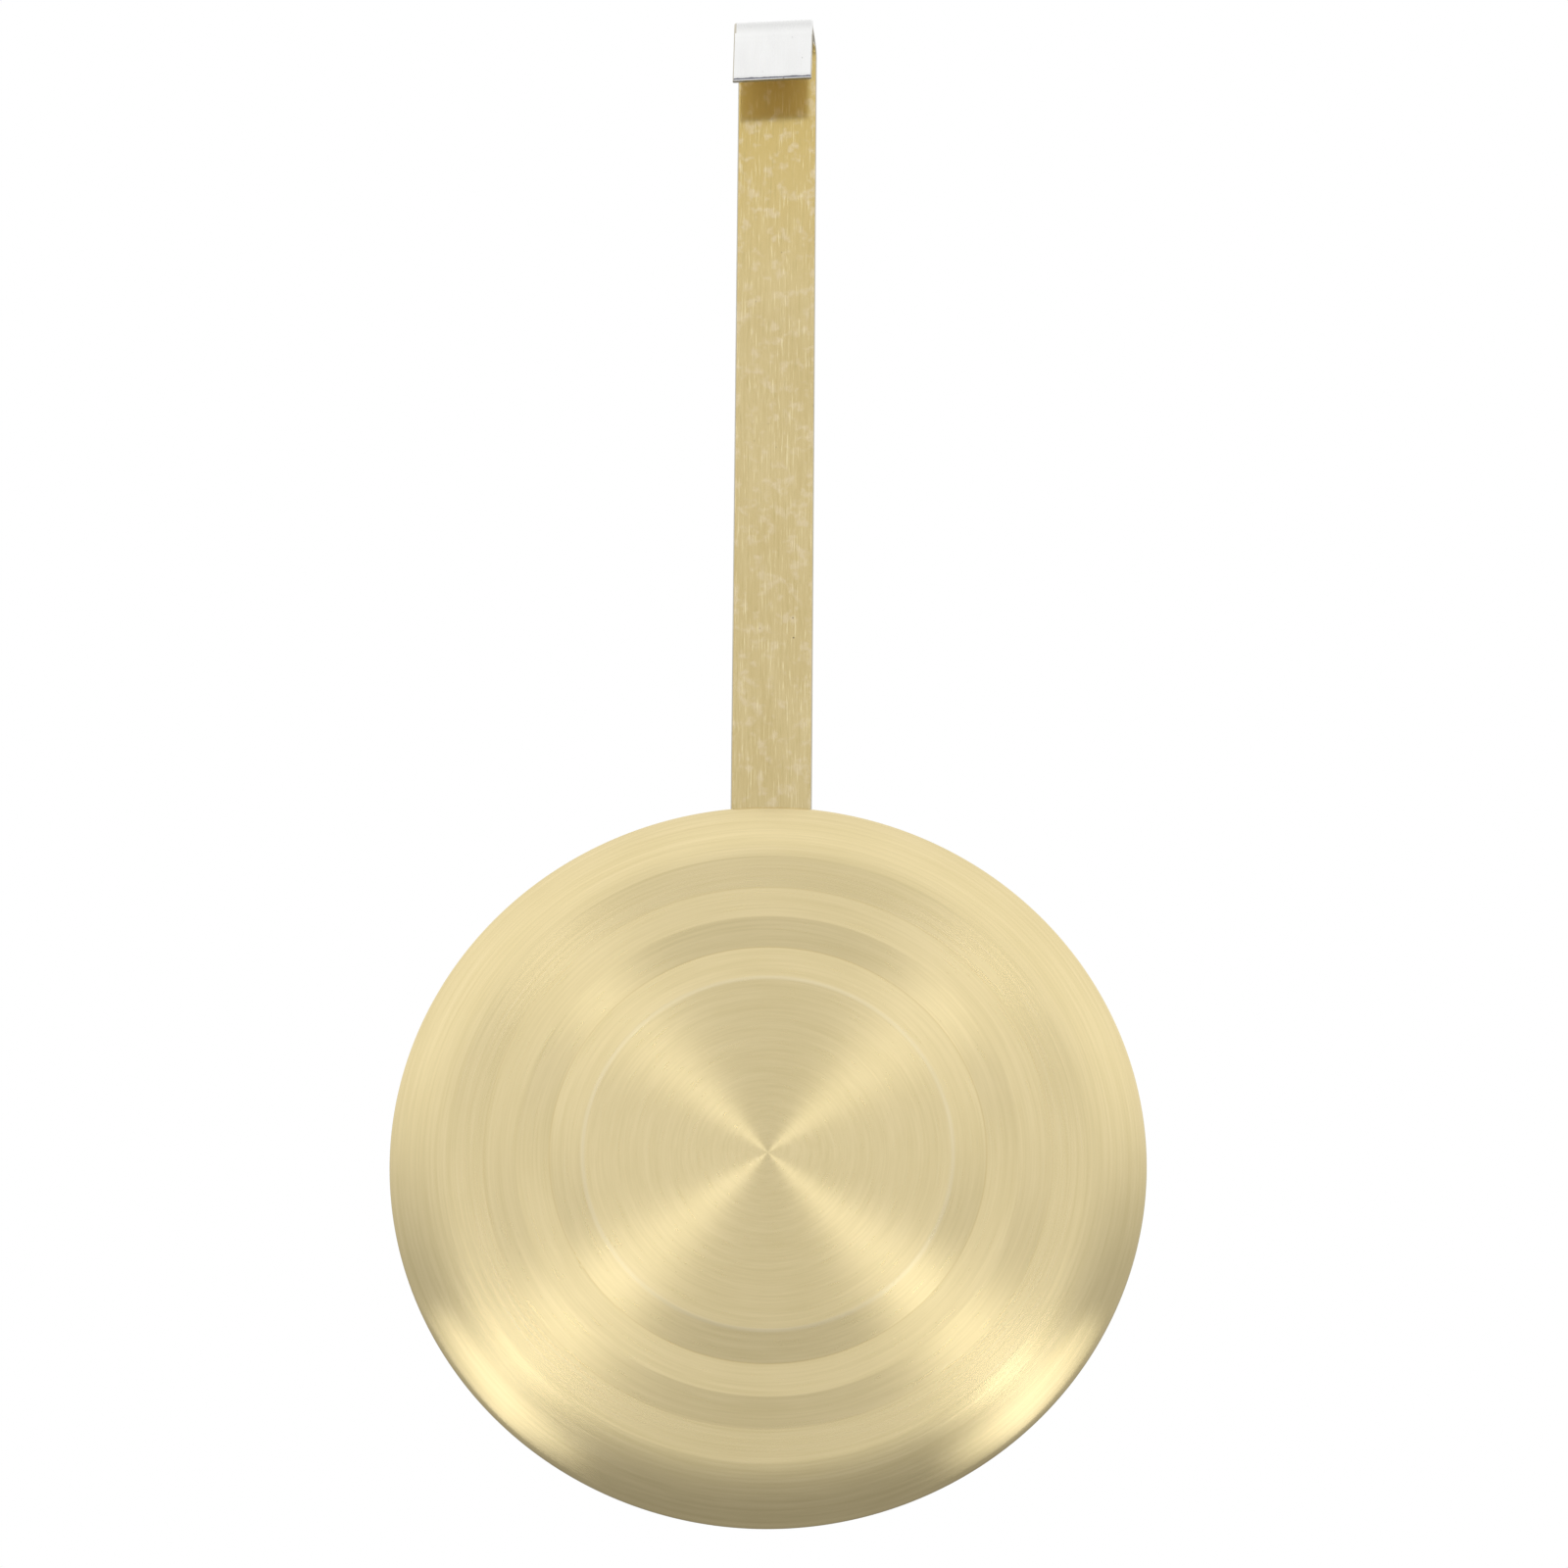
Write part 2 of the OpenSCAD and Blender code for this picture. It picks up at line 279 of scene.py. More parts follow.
class Look:
    """A node material: a shader, and short calls that add nodes and join them."""

    def __init__(self, name):
        self.material = bpy.data.materials.new(name)
        self.material.use_nodes = True
        self.nodes = self.material.node_tree.nodes
        self.links = self.material.node_tree.links
        self.shader = self.nodes["Principled BSDF"]

    def add(self, kind, inputs=None, **settings):
        node = self.nodes.new(kind)
        for key, value in settings.items():
            setattr(node, key, value)
        for key, value in (inputs or {}).items():
            self.feed(node.inputs[key], value)
        return node

    def feed(self, socket, value):
        if isinstance(value, bpy.types.NodeSocket):
            self.links.new(value, socket)
        else:
            socket.default_value = value

    def set(self, **values):
        for key, value in values.items():
            self.feed(self.shader.inputs[key.replace("_", " ")], value)

    def math(self, operation, a, b=0.0):
        return self.add("ShaderNodeMath", {0: a, 1: b}, operation=operation).outputs[0]

    def place(self, offset=(0, 0, 0)):
        """Point on the piece, in metres, measured from an offset."""
        where = self.add("ShaderNodeTexCoord").outputs["Object"]
        shifted = self.add("ShaderNodeVectorMath", {0: where, 1: offset}, operation="SUBTRACT")
        return shifted.outputs[0]

    def stretched(self, vector, scale):
        node = self.add("ShaderNodeVectorMath", {0: vector, 1: scale}, operation="MULTIPLY")
        return node.outputs[0]

    def noise(self, vector, scale=1.0, detail=3.0, rough=0.5):
        node = self.add(
            "ShaderNodeTexNoise",
            {"Vector": vector, "Scale": scale, "Detail": detail, "Roughness": rough},
        )
        return node.outputs["Fac"]

    def spread(self, value, low, high, to_low=0.0, to_high=1.0):
        node = self.add(
            "ShaderNodeMapRange",
            {"Value": value, "From Min": low, "From Max": high,
             "To Min": to_low, "To Max": to_high},
        )
        return node.outputs["Result"]

    def blend(self, factor, first, second):
        node = self.add("ShaderNodeMix", data_type="RGBA")
        self.feed(node.inputs["Factor"], factor)
        self.feed(node.inputs["A"], first)
        self.feed(node.inputs["B"], second)
        return node.outputs["Result"]

    def bump(self, height, distance, strength=1.0, normal=None):
        inputs = {"Height": height, "Distance": distance, "Strength": strength}
        if normal:
            inputs["Normal"] = normal
        return self.add("ShaderNodeBump", inputs).outputs["Normal"]

    def wear(self, sharp=0.0002):
        """Near 1 along worn outer edges and 0 on flat faces."""
        flat = self.add("ShaderNodeNewGeometry").outputs["Normal"]
        soft = self.add("ShaderNodeBevel", {"Radius": sharp}, samples=4).outputs["Normal"]
        product = self.add("ShaderNodeVectorMath", {0: flat, 1: soft}, operation="DOT_PRODUCT")
        return self.spread(product.outputs["Value"], 0.98, 0.80)


def circular(look, centre, fine, around):
    """Coordinates that run along circles about Y: distance from the centre, then direction."""
    point = look.add("ShaderNodeSeparateXYZ", {0: look.place(centre)})
    x = point.outputs["X"]
    z = point.outputs["Z"]
    square = look.math("ADD", look.math("MULTIPLY", x, x), look.math("MULTIPLY", z, z))
    radius = look.math("MAXIMUM", look.math("SQRT", square), 1e-6)
    where = look.add("ShaderNodeCombineXYZ", {
        "X": look.math("MULTIPLY", radius, fine),
        "Y": look.math("MULTIPLY", look.math("DIVIDE", x, radius), around),
        "Z": look.math("MULTIPLY", look.math("DIVIDE", z, radius), around),
    })
    return where.outputs["Vector"], radius


# The bob's finish: roughness of the flat middle and of the dome, and how strongly the
# brushing draws out a highlight
FLAT_ROUGH = 0.285
DOME_ROUGH = 0.25
BRUSHED = 0.95
# Bands whose slope shows more than their height does: inner radius, outer radius, degrees
RING_TILTS = [(21.6, 24.9, 3.8), (24.9, 28.1, 1.8), (28.1, 31.5, 2.3)]
# Lines painted at the rings' edges, a pale painted highlight at the first and painted shade at the
# others: radius, half width, strength, colour
RING_EDGE_LIGHT = [
    (18.3, 0.30, 0.20, (0.95, 0.88, 0.70, 1)),
    (21.6, 0.10, 0.45, (0.70, 0.55, 0.26, 1)),
    (28.1, 0.10, 0.25, (0.70, 0.55, 0.26, 1)),
]


def spun_brass():
    """Pale lacquered brass, brushed in circles about the bob's centre."""
    look = Look("spun_brass")
    grooves, radius = circular(look, BOB_CENTRE, 3600, 1.6)
    marks, _ = circular(look, BOB_CENTRE, 2600, 5.0)
    groove = look.noise(grooves, 1.0, 2.0, 0.6)
    mark = look.noise(marks, 1.0, 3.0, 0.65)
    cloud = look.noise(look.place(), 90.0, 3.0, 0.55)
    fine = look.math("ADD", look.math("MULTIPLY", groove, 0.5), look.math("MULTIPLY", mark, 0.25))
    tone = look.math("ADD", fine, look.math("MULTIPLY", cloud, 0.25))
    smoother = look.spread(radius, 27 * MM, 33 * MM, FLAT_ROUGH, DOME_ROUGH)
    rings = 0.0
    for start, end, tilt in RING_TILTS:
        rise = (end - start) * MM * math.tan(math.radians(tilt))
        rings = look.math("ADD", rings, look.spread(radius, start * MM, end * MM, 0.0, rise))
    colour = look.blend(
        look.spread(tone, 0.38, 0.62), (0.79, 0.66, 0.36, 1), (0.87, 0.73, 0.42, 1)
    )
    # Thin rings of painted highlight and painted shade where the bands meet
    for line_r, half_w, strength, edge_light_colour in RING_EDGE_LIGHT:
        away = look.math("ABSOLUTE", look.math("SUBTRACT", radius, line_r * MM))
        line = look.spread(away, half_w * MM, half_w * MM / 3, 0.0, strength)
        colour = look.blend(line, colour, edge_light_colour)
    look.set(
        Base_Color=colour,
        Metallic=1.0,
        Roughness=look.math("ADD", smoother, look.spread(mark, 0.3, 0.7, -0.015, 0.015)),
        Anisotropic=BRUSHED,
        Anisotropic_Rotation=0.25,
        Tangent=look.add("ShaderNodeTangent", direction_type="RADIAL", axis="Y").outputs[0],
        Normal=look.bump(rings, 1.0),
    )
    return look.material


def strip_gold():
    """Plated front of the strip: drawn lengthwise, with pale blotches, scratches and pits."""
    look = Look("strip_gold")
    grain = look.noise(look.stretched(look.place(), (5200, 3000, 130)), 1.0, 3.0, 0.65)
    scratch = look.noise(look.stretched(look.place((0.5, 0, 0)), (8000, 2000, 420)), 1.0, 2.0, 0.5)
    blotch = look.noise(look.stretched(look.place((0, 0, 0.7)), (1000, 700, 950)), 1.0, 2.0, 0.5)
    cloud = look.noise(look.stretched(look.place(), (260, 260, 90)), 1.0, 3.0, 0.5)
    pit = look.noise(look.stretched(look.place((0.3, 0, 0.2)), (2600, 900, 2300)), 1.0, 1.0, 0.5)
    tone = look.math("ADD", look.math("MULTIPLY", grain, 0.55), look.math("MULTIPLY", cloud, 0.45))
    colour = look.blend(
        look.spread(tone, 0.36, 0.64), (0.61, 0.485, 0.228, 1), (0.69, 0.565, 0.298, 1)
    )
    point = look.add("ShaderNodeSeparateXYZ", {0: look.place()})
    inside_fold = look.spread(point.outputs["Y"], 1.6 * MM, -1 * MM)
    satin = look.spread(inside_fold, 0.0, 1.0, 0.17, 0.75)
    near_fold = look.spread(point.outputs["Z"], -30 * MM, -8 * MM, 0.0, 0.85)
    colour = look.blend(near_fold, colour, (0.63, 0.475, 0.165, 1))
    colour = look.blend(look.spread(blotch, 0.53, 0.69, 0.0, 0.55), colour, (0.76, 0.635, 0.42, 1))
    colour = look.blend(look.spread(scratch, 0.60, 0.74, 0.0, 0.6), colour, (0.92, 0.80, 0.50, 1))
    colour = look.blend(look.spread(scratch, 0.40, 0.26, 0.0, 0.5), colour, (0.50, 0.41, 0.16, 1))
    # Paler colour on the inside of the flap: painted light that lifts its dark reflection in the
    # strip below it
    colour = look.blend(inside_fold, colour, (0.97, 0.86, 0.56, 1))
    colour = look.blend(look.spread(pit, 0.225, 0.19), colour, (0.10, 0.08, 0.05, 1))
    look.set(
        Base_Color=colour,
        Metallic=0.8,
        Roughness=look.math("ADD", satin, look.spread(grain, 0.3, 0.7, -0.03, 0.03)),
        Normal=look.bump(grain, 0.00001, 0.2, look.bump(blotch, 0.00002, 0.15)),
    )
    return look.material


def flap_end_shade(look):
    """1 on a thin line just above the end of the flap, which is painted dark as painted shade."""
    point = look.add("ShaderNodeSeparateXYZ", {0: look.place()})
    slope = look.math("MULTIPLY", point.outputs["X"], FOLD_TILT)
    above_end = look.math("ADD", look.math("SUBTRACT", point.outputs["Z"], slope), FLAP_LENGTH)
    wavering = look.noise(look.stretched(look.place(), (900, 0, 0)), 1.0, 2.0, 0.5)
    top = look.spread(wavering, 0.3, 0.7, 0.26 * MM, 0.38 * MM)
    below_top = look.math("LESS_THAN", above_end, top)
    above_bottom = look.math("GREATER_THAN", above_end, 0.15 * MM)
    on_flap = look.math("LESS_THAN", point.outputs["Y"], 0.0)
    return look.math("MULTIPLY", look.math("MULTIPLY", below_top, above_bottom), on_flap)


def strip_silver():
    """Bare back of the strip: bright, faintly streaked lengthwise, with a few fine pits."""
    look = Look("strip_silver")
    grain = look.noise(look.stretched(look.place(), (9000, 3000, 200)), 1.0, 3.0, 0.6)
    cloud = look.noise(look.stretched(look.place(), (500, 500, 160)), 1.0, 3.0, 0.5)
    pit = look.noise(look.stretched(look.place((0.1, 0, 0.4)), (2200, 900, 1500)), 1.0, 1.0, 0.5)
    tone = look.math("ADD", look.math("MULTIPLY", grain, 0.5), look.math("MULTIPLY", cloud, 0.5))
    colour = look.blend(look.spread(tone, 0.35, 0.65), (0.90, 0.90, 0.89, 1), (0.97, 0.97, 0.96, 1))
    colour = look.blend(look.spread(pit, 0.24, 0.20), colour, (0.45, 0.44, 0.43, 1))
    point = look.add("ShaderNodeSeparateXYZ", {0: look.place()})
    # Painted shade: the bare metal is painted darker over the top of the bend
    bend_shade = look.spread(point.outputs["Z"], -0.5 * MM, 1.5 * MM, 0.0, 0.8)
    colour = look.blend(bend_shade, colour, (0.78, 0.78, 0.77, 1))
    # Dark line of painted shade along the end of the flap
    colour = look.blend(flap_end_shade(look), colour, (0.22, 0.22, 0.26, 1))
    look.set(
        Base_Color=colour,
        Metallic=1.0,
        Roughness=look.spread(grain, 0.3, 0.7, 0.26, 0.33),
        Normal=look.bump(grain, 0.00001, 0.25),
    )
    return look.material


def machined(name, dark, pale, roughness, grain_scale, wear_colour=None):
    """Plated or turned metal: fine grain, faint stains, and brighter worn edges."""
    look = Look(name)
    grain = look.noise(look.stretched(look.place(), grain_scale), 1.0, 3.0, 0.6)
    stain = look.noise(look.place(), 220.0, 4.0, 0.6)
    tone = look.math("ADD", look.math("MULTIPLY", grain, 0.4), look.math("MULTIPLY", stain, 0.6))
    colour = look.blend(look.spread(tone, 0.35, 0.65), dark, pale)
    if wear_colour:
        colour = look.blend(look.wear(), colour, wear_colour)
    look.set(
        Base_Color=colour,
        Metallic=1.0,
        Roughness=look.spread(tone, 0.3, 0.7, roughness - 0.05, roughness + 0.08),
        Normal=look.bump(grain, 0.00001, 0.3),
    )
    return look.material


BRASS = spun_brass()
STRIP_FRONT = strip_gold()
STRIP_BACK = strip_silver()
STRIP_EDGE = machined(
    "strip_edge", (0.58, 0.54, 0.45, 1), (0.68, 0.64, 0.54, 1), 0.30, (2000, 2000, 200)
)
ZINC = machined(
    "zinc_plate", (0.52, 0.53, 0.54, 1), (0.66, 0.67, 0.68, 1), 0.36, (6000, 2000, 240),
    wear_colour=(0.80, 0.80, 0.81, 1),
)
PLATE = machined(
    "back_sheet", (0.50, 0.50, 0.51, 1), (0.64, 0.64, 0.65, 1), 0.38, (5000, 2000, 150)
)
STEEL = machined(
    "screw_steel", (0.44, 0.44, 0.46, 1), (0.60, 0.60, 0.62, 1), 0.30, (900, 900, 900)
)
ALUMINIUM = machined(
    "rivet_aluminium", (0.70, 0.70, 0.71, 1), (0.84, 0.84, 0.85, 1), 0.34, (900, 900, 900)
)
SPRING = machined(
    "spring_steel", (0.32, 0.33, 0.37, 1), (0.46, 0.47, 0.52, 1), 0.28, (4000, 900, 300)
)
TURNED = machined(
    "turned_brass", (0.68, 0.50, 0.22, 1), (0.80, 0.63, 0.32, 1), 0.28, (300, 300, 9000),
    wear_colour=(0.90, 0.75, 0.45, 1),
)
IRON = machined(
    "weight_steel", (0.22, 0.22, 0.23, 1), (0.34, 0.34, 0.35, 1), 0.50, (900, 900, 900)
)


# ---------------------------------------------------------------- bob

def sheet_line(depth, lip_in):
    """The spun sheet's outline from its centre to its lip, a given depth inside it."""
    face = SHELL_LOW.y - BOB_CENTRE.y
    lip_back = SHELL_HIGH.y - BOB_CENTRE.y
    roll = (BOB_R - ROLL_R, lip_back - ROLL_R)
    end = (roll[0] + ROLL_R * math.sin(DOME_END), roll[1] - ROLL_R * math.cos(DOME_END))
    land_r = RINGS[-1][0] * MM
    dome_r = (end[0] - land_r) / (math.sin(DOME_END) - math.sin(DOME_START))
    dome = (land_r - dome_r * math.sin(DOME_START), end[1] + dome_r * math.cos(DOME_END))
    rings = [(r * MM, face + fall * MM + depth) for r, fall in RINGS[:-1]]
    flat = [(share * rings[0][0], face + depth) for share in (0.0003, 0.25, 0.5, 0.75)]
    points = flat + soften(rings, flat[-1], dome_point(dome, dome_r - depth))
    points += arc(dome, dome_r - depth, DOME_START, DOME_END, 24)
    points += arc(roll, ROLL_R - depth, DOME_END, math.pi, 14)[1:]
    points.append((lip_in, lip_back - depth))
    return points


def dome_point(dome, radius):
    """First point of the dome, on an arc about its centre."""
    return (dome[0] + radius * math.sin(DOME_START), dome[1] - radius * math.cos(DOME_START))


def soften(points, before, after, reach=0.15 * MM, steps=5):
    """Rounds the shallow corners between the face's rings, as the spinning tool leaves them."""
    line = [before] + points + [after]
    out = []
    for i in range(1, len(line) - 1):
        corner = Vector(line[i])
        start = corner + (Vector(line[i - 1]) - corner).normalized() * reach
        end = corner + (Vector(line[i + 1]) - corner).normalized() * reach
        for k in range(steps + 1):
            t = k / steps
            point = (1 - t) ** 2 * start + 2 * t * (1 - t) * corner + t ** 2 * end
            out.append((point.x, point.y))
    return out


def make_front_shell():
    lip_in = BOB_R - ROLL_R - LIP_W
    outside = sheet_line(0, lip_in)
    inside = sheet_line(SHEET, lip_in)
    outline = outside + inside[::-1]
    piece = revolve("bob_front", outline, BOB_CENTRE, "Y", 288)
    done(piece, "bob", BRASS, "spun_brass", "front_shell")


# ---------------------------------------------------------------- strip and hook

def make_strip():
    """Sweeps the strip's section up, round the bend and down the flap."""
    bend_r = STRIP_HIGH.y - SHEET / 2
    strip_steps = 60
    bend_steps = 32
    flap_steps = 8
    path = []
    for i in range(strip_steps + 1):
        path.append((bend_r, STRIP_LOW.z * (1 - i / strip_steps), 0.0))
    for i in range(1, bend_steps + 1):
        slope = math.pi * i / bend_steps
        path.append((bend_r * math.cos(slope), bend_r * math.sin(slope), slope))
    for i in range(1, flap_steps + 1):
        path.append((-bend_r, -FLAP_LENGTH * i / flap_steps, math.pi))
    section = strip_section()
    verts = []
    for y, z, slope in path:
        for across, out in section:
            point = Vector((across, y + out * math.cos(slope), z + out * math.sin(slope)))
            verts.append(askew(point, slope / math.pi))
    piece = tube("strip", verts, len(section))
    smooth(piece, 40)
    drill(piece, rivet_spots("carrier_rivets"), STRIP_RIVET[0])
    bevel(piece, 0.1 * MM)
    done(piece, "rod", [STRIP_FRONT, STRIP_BACK, STRIP_EDGE], "strip_brass", "suspension_strip")
    for face in piece.data.polygons:
        face.material_index = strip_side(face.center)


def strip_section():
    """Points round the strip's section as (across, out), with its drawn edges rounded."""
    half_w = STRIP_HIGH.x
    flat = half_w - 0.25 * MM
    fullness = 0.8
    steps = 12
    points = []
    for side in (1, -1):
        for i in range(steps + 1):
            a = math.pi * i / steps
            across = flat + (half_w - flat) * math.sin(a) ** fullness
            points.append((across * side, -SHEET / 2 * math.cos(a) * side))
    return points


def askew(point, share):
    """Moves a point as the fold being out of square does, given its share of the bend.

    All of it comes in the first half of the bend, so the flap leans but stays straight.
    """
    share = min(1, 2 * share)
    ease = share * share * (3 - 2 * share)
    x = point.x - ease * FOLD_DRIFT + ease * FOLD_LEAN * min(point.z, 0)
    z = point.z + ease * FOLD_TILT * point.x
    return Vector((x, point.y, z))


def strip_side(point):
    """0 on the plated front, which ends up inside the hook, 1 on the bare back, 2 on an edge."""
    reach = abs(point.y) if point.z < 0 else math.hypot(point.y, point.z)
    out = reach - (STRIP_HIGH.y - SHEET / 2)
    if abs(out) < SHEET * 0.40:
        return 2
    return 1 if out > 0 else 0


# ---------------------------------------------------------------- rivets, screw and nut

def rivet_spots(node):
    """(x, z) of each rivet of a node, told from the box that holds them all."""
    if node == "weight_rivets":
        return weight_rivet_spots()
    low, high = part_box(node)
    inset = RIVETS[node][1]
    spots = []
    for z in {round(low.z + inset, 7), round(high.z - inset, 7)}:
        spots += [(low.x + inset, z), (high.x - inset, z)]
    return spots


def weight_rivet_spots():
    spots = []
    for degrees in WEIGHT_RIVET_ANGLES:
        a = math.radians(degrees)
        x = BOB_CENTRE.x + WEIGHT_RIVET_CIRCLE * math.cos(a)
        z = BOB_CENTRE.z + WEIGHT_RIVET_CIRCLE * math.sin(a)
        spots.append((x, z))
    return spots


def make_rivets(name, node, body):
    """Shanks with low domed heads, each set with a faint ring and a dimple from the tool."""
    low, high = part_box(node)
    shank_r, head_r, head_h = RIVETS[node]
    chamfer = 0.05 * MM
    undercut = 0.04 * MM
    dimple_depth = 0.06 * MM
    ring_height = 0.03 * MM
    steps = 14
    under_head = high.y - head_h
    shank = under_head - low.y
    sphere_r = (head_r ** 2 + head_h ** 2) / (2 * head_h)
    outline = [(1e-6, 0), (shank_r - chamfer, 0), (shank_r, chamfer), (shank_r, shank)]
    outline.append((head_r - undercut, shank))
    rim_slope = math.asin(head_r / sphere_r)
    for i in range(steps + 1):
        a = rim_slope * (1 - i / steps)
        radius = max(sphere_r * math.sin(a), 1e-6)
        dimple = dimple_depth * math.exp(-(radius / (0.3 * head_r)) ** 2)
        ring = ring_height if i == 0 else 0
        outline.append((radius, shank + head_h - sphere_r * (1 - math.cos(a)) - dimple + ring))
    pieces = []
    for x, z in rivet_spots(node):
        pieces.append(revolve(name, outline, Vector((x, low.y, z)), "Y", 40))
    piece = join(name, pieces)
    smooth(piece, 40)
    done(piece, body, ALUMINIUM, "rivet_metal", node)


def make_screw():
    """Bar with a cut thread: one ridge that winds up it, tapering out at both ends."""
    low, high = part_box("rating_screw")
    crest = (high.x - low.x) / 2
    pitch = 0.45 * MM
    depth = 0.24 * MM
    taper = 0.35 * MM
    steepness = 2.6
    around = 28
    rows_per_turn = 8
    rows = int(round((high.z - low.z) / pitch * rows_per_turn))
    verts = []
    for i in range(rows + 1):
        z = low.z + (high.z - low.z) * i / rows
        end = min(z - low.z, high.z - z)
        limit = crest - max(0.0, taper - end)
        for k in range(around):
            angle = TURN * k / around
            phase = (z / pitch - k / around) % 1
            ridge = min(1.0, steepness * abs(phase - 0.5))
            radius = min(crest - depth * (1 - ridge), limit)
            x = SCREW_AXIS.x + radius * math.cos(angle)
            y = SCREW_AXIS.y + radius * math.sin(angle)
            verts.append(Vector((x, y, z)))
    piece = tube("screw", verts, around)
    smooth(piece, 30)
    done(piece, "rod", STEEL, "steel_fittings", "rating_screw")


def make_lock_pin():
    low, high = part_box("screw_lock_pin")
    radius = (high.z - low.z) / 2
    piece = rod("lock_pin", centre_of("screw_lock_pin"), radius, low.x, high.x, "X", 32)
    bevel(piece, 0.12 * MM)
    done(piece, "rod", STEEL, "steel_fittings", "screw_lock_pin")


def make_collar():
    """Collar with a turned groove round its middle."""
    low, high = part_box("stop_collar")
    outer = (high.x - low.x) / 2
    inner = size_of("rating_screw").x / 2
    height = high.z - low.z
    groove = 0.12 * MM
    edge_r = 0.2 * MM
    outline = [
        (inner, 0), (outer, 0, edge_r), (outer, height * 0.38), (outer - groove, height * 0.44),
        (outer - groove, height * 0.56), (outer, height * 0.62), (outer, height, edge_r),
        (inner, height),
    ]
    centre = Vector((SCREW_AXIS.x, SCREW_AXIS.y, low.z))
    piece = revolve("collar", rounded(outline, 0.05 * MM), centre, "Z", 72)
    done(piece, "rod", STEEL, "steel_fittings", "stop_collar")


def make_carrier():
    """Block behind the strip's end, bored for the screw and cross-drilled for its pin."""
    low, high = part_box("screw_carrier")
    piece = box("carrier", low, high)
    bevel(piece, 0.25 * MM, 4)
    screw_low, screw_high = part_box("rating_screw")
    radius = (screw_high.x - screw_low.x) / 2
    bore = rod("bore", SCREW_AXIS, radius, low.z - MM, screw_high.z, "Z")
    combine(piece, bore, "DIFFERENCE")
    pin = centre_of("screw_lock_pin")
    pin_r = size_of("screw_lock_pin").z / 2
    combine(piece, rod("cross_hole", pin, pin_r, low.x - MM, high.x + MM, "X", 32), "DIFFERENCE")
    drill(piece, rivet_spots("carrier_rivets"), STRIP_RIVET[0])
    smooth(piece, 40)
    done(piece, "rod", TURNED, "brass_fittings", "screw_carrier")


def make_nut():
    """Thumb nut with a knurled rim, a groove round its middle and a chamfered bore."""
    low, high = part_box("rating_nut")
    outer = (high.x - low.x) / 2
    bore = size_of("rating_screw").x / 2 + THREAD_GAP
    height = high.z - low.z
    chamfer = 0.4 * MM
    teeth = 54
    cut = 0.16 * MM
    inset = 0.04 * MM
    groove = 0.3 * MM
    lead = 0.2 * MM
    outline = [
        (bore + lead, 0), (outer - chamfer, 0), (outer - inset, chamfer),
        (outer, chamfer * 1.3), (outer, height * 0.42), (outer - groove, height * 0.46),
        (outer - groove, height * 0.54), (outer, height * 0.58), (outer, height - chamfer * 1.3),
        (outer - inset, height - chamfer), (outer - chamfer, height), (bore + lead, height),
        (bore, height - lead), (bore, lead),
    ]

    def knurl(angle, radius, _):
        share = (radius - (outer - chamfer)) / chamfer
        tooth = abs(((angle / TURN * teeth) % 1) - 0.5) * 2
        return -cut * max(0.0, share) * tooth

    centre = Vector((SCREW_AXIS.x, SCREW_AXIS.y, low.z))
    piece = revolve("nut", outline, centre, "Z", teeth * 6, bulge=knurl)
    smooth(piece, 28)
    done(piece, "nut", TURNED, "brass_fittings", "rating_nut")


def make_washer():
    low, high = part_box("tension_washer")
    outer = (high.x - low.x) / 2
    inner = size_of("rating_screw").x / 2 + WASHER_GAP
    height = high.z - low.z
    thick = 0.2 * MM
    outline = [(inner, height - thick), (outer, 0), (outer, thick), (inner, height)]
    centre = Vector((SCREW_AXIS.x, SCREW_AXIS.y, low.z))
    piece = revolve("washer", rounded(outline, 0.06 * MM), centre, "Z", 72)
    done(piece, "bob", SPRING, "spring_steel", "tension_washer")


# ---------------------------------------------------------------- sheets behind the bob

def nut_window(name):
    """Cutter for the slot that the nut stands in."""
    low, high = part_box("rating_nut")
    cage_low, cage_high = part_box("nut_cage")
    half_w = (high.x - low.x) / 2 - 0.3 * MM
    bottom = cage_low.z + CAGE_SHEET
    top = cage_high.z - CAGE_SHEET
    reach = 10 * MM
    outline = [(-half_w, bottom), (half_w, bottom), (half_w, top), (-half_w, top)]
    return prism(name, outline, -reach, reach, "Y")


def drill(piece, spots, radius):
    """Cuts round holes along Y."""
    reach = 15 * MM
    for x, z in spots:
        bit = rod("drill", Vector((x, 0, z)), radius, -reach, reach, "Y", 32)
        combine(piece, bit, "DIFFERENCE")


def stadium(half_w, height, z):
    """Outline of a strap with round ends, around the bob's centre line."""
    r = height / 2
    steps = 24
    points = []
    for side in (1, -1):
        for i in range(steps + 1):
            a = math.pi * i / steps
            points.append((side * (half_w - r + r * math.sin(a)), z - side * r * math.cos(a)))
    return points


def make_back_plate():
    """Disc with its edge set forward by a soft step."""
    thick = 0.8 * MM
    step = PLATE_HIGH.y - (PLATE_LOW.y + thick)
    step_w = 0.6 * MM
    steps = 8
    edge_r = size_of("back_plate").x / 2
    pan_r = BOB_R - ROLL_R - LIP_W - MM
    back = [(1e-6, PLATE_HIGH.y), (pan_r * 0.5, PLATE_HIGH.y)]
    for i in range(steps + 1):
        t = i / steps
        ease = t * t * (3 - 2 * t)
        back.append((pan_r + step_w * t, PLATE_HIGH.y - step * ease))
    back.append((edge_r, PLATE_LOW.y + thick))
    outline = back + [(r, y - thick) for r, y in back[::-1]]
    centre = Vector((BOB_CENTRE.x, 0, BOB_CENTRE.z))
    piece = revolve("plate", outline, centre, "Y", 192)
    combine(piece, nut_window("window"), "DIFFERENCE")
    drill(piece, rivet_spots("weight_rivets"), WEIGHT_RIVET[0])
    drill(piece, rivet_spots("bridge_rivets") + rivet_spots("cage_rivets"), GUIDE_RIVET[0])
    bevel(piece, 0.08 * MM, 2)
    done(piece, "bob", PLATE, "back_plate_steel", "back_plate")


